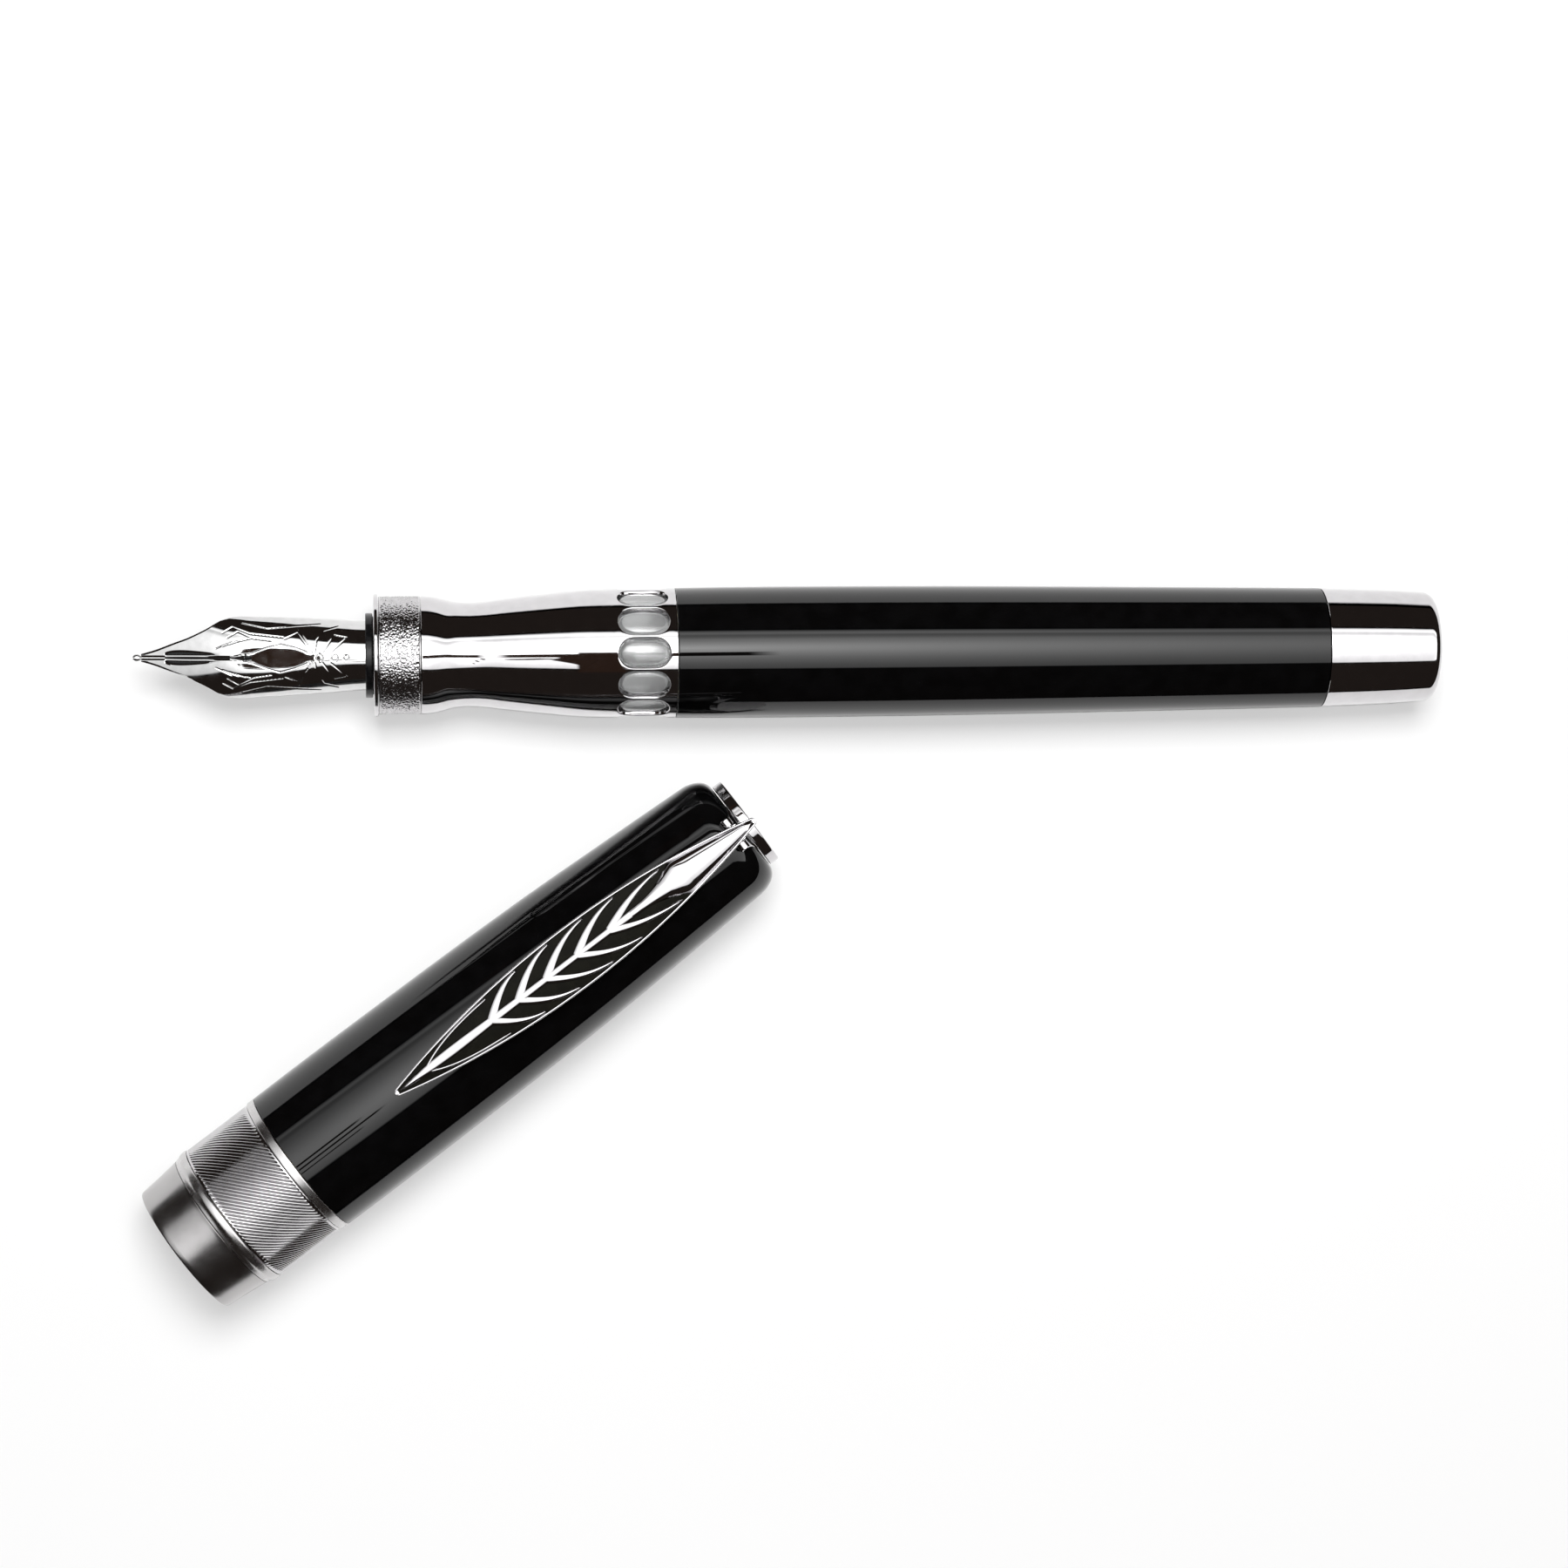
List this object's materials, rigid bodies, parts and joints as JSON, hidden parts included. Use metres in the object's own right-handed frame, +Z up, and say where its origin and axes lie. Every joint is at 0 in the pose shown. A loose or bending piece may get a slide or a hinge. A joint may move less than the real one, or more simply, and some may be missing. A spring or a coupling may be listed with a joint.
{
  "type": "fountain pen",
  "caption": "Plunger-filling fountain pen with windowed metal grip, resin barrel and separate cap with a sprung openwork clip.",
  "frame": {"origin": "on the surface that the pen and cap lie on, below the middle of the pair's box", "axes": "+X along the pen from the nib to the filler knob, +Z up, +Y from the cap's side to the pen's side"},
  "size_m": [0.1374, 0.0748, 0.0183],
  "materials": {
    "chrome": "mirror-polished plating",
    "textured_metal": "fine hammered and engine-turned plated metal",
    "nib_steel": "polished steel",
    "brass": "turned brass",
    "black_resin": "polished black resin",
    "ebonite": "matt black moulding",
    "clear_resin": "clear acrylic",
    "rubber": "black rubber",
    "liner": "dark moulded liner",
    "magnet": "nickel-plated magnet"
  },
  "bodies": {
    "pen": {"nib": "nib_steel", "tipping_left": "nib_steel", "tipping_right": "nib_steel", "feed": "ebonite", "nib_collar": "ebonite", "section_lip": "chrome", "grip_band": "textured_metal", "grip_shell": "chrome", "section_core": "ebonite", "core_oring": "rubber", "ink_chamber": "clear_resin", "barrel_coupling": "brass", "barrel": "black_resin", "rear_gland": "brass", "gland_oring_front": "rubber", "gland_oring_rear": "rubber", "gland_nut": "brass", "knob_oring": "rubber"},
    "plunger": {"filler_rod": "nib_steel", "valve_tip": "rubber", "plunger_nut": "nib_steel", "plunger_seal": "rubber", "plunger_head": "ebonite", "rod_head": "nib_steel"},
    "filler_knob": {"knob": "chrome", "knob_insert": "brass"},
    "cap": {"cap_lip": "chrome", "cap_ring_front": "chrome", "cap_band": "textured_metal", "cap_ring_rear": "chrome", "cap_sleeve": "brass", "cap_tube": "black_resin", "closure_magnet": "magnet", "inner_cap": "liner", "finial_screw": "nib_steel", "finial_disc": "chrome", "clip_mount": "chrome", "clip_pin": "nib_steel", "clip_spring": "nib_steel"},
    "clip": {"clip_leaf": "chrome", "clip_bead": "chrome"}
  },
  "joints": [
    {"name": "filler_draw", "type": "slide", "parent": "pen", "child": "plunger", "axis": [1, 0, 0], "range_m": [0, 0.062]},
    {"name": "knob_turn", "type": "hinge", "parent": "plunger", "child": "filler_knob", "pos_m": [0.06232, 0.03053, 0.00688], "axis": [1, 0, 0], "range_deg": [0, 810]},
    {"name": "cap_slide", "type": "slide", "parent": "pen", "child": "cap", "axis": [-0.8007, -0.599, 0], "range_m": [0, 0.06]},
    {"name": "clip_lift", "type": "hinge", "parent": "cap", "child": "clip", "pos_m": [-0.00666, 0.01215, 0.01545], "axis": [-0.5967, 0.7977, -0.0872], "range_deg": [0, 5], "stiffness_Nm_per_rad": 0.6, "springref_deg": -8.59}
  ]
}
